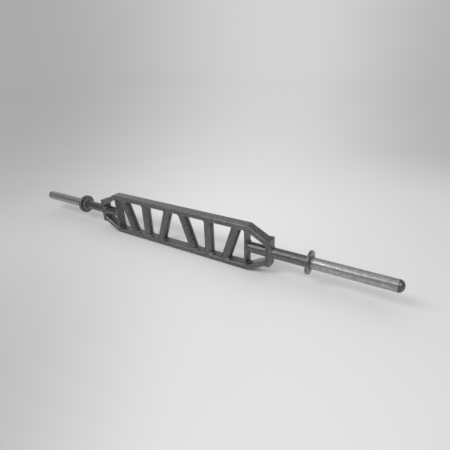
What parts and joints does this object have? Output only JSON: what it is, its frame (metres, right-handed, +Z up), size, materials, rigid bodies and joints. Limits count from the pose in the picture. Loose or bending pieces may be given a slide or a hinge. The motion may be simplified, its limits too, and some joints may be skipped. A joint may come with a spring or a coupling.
{
  "type": "swiss bar",
  "caption": "Welded multi-grip barbell: a hexagonal tube frame with upright and slanted round grips between two rails, and round shafts, collars and sleeves for plates.",
  "frame": {"origin": "on the floor under the middle of the bar, at the centre of the lower rail's bottom face", "axes": "+X along the bar, +Y square to the frame's plane, +Z up from the lower rail to the upper rail"},
  "size_m": [2.07, 0.102, 0.22],
  "materials": {
    "frame_coating": "satin charcoal powder coat, lightly worn",
    "sleeve_steel": "bright plated steel with fine lengthwise and crosswise scratches",
    "cap_plastic": "moulded black plastic"
  },
  "bodies": {
    "root": {"upper_rail": "frame_coating", "lower_rail": "frame_coating", "upper_diagonal_left": "frame_coating", "lower_diagonal_left": "frame_coating", "end_post_left": "frame_coating", "cross_plate_left": "frame_coating", "inner_shaft_left": "frame_coating", "outer_shaft_left": "frame_coating", "collar_left": "frame_coating", "inner_grip_left": "frame_coating", "middle_grip_left": "frame_coating", "outer_grip_left": "frame_coating", "upper_diagonal_right": "frame_coating", "lower_diagonal_right": "frame_coating", "end_post_right": "frame_coating", "cross_plate_right": "frame_coating", "inner_shaft_right": "frame_coating", "outer_shaft_right": "frame_coating", "collar_right": "frame_coating", "inner_grip_right": "frame_coating", "middle_grip_right": "frame_coating", "outer_grip_right": "frame_coating", "sleeve_left": "sleeve_steel", "sleeve_right": "sleeve_steel", "end_cap_left": "cap_plastic", "end_cap_right": "cap_plastic"}
  },
  "joints": []
}
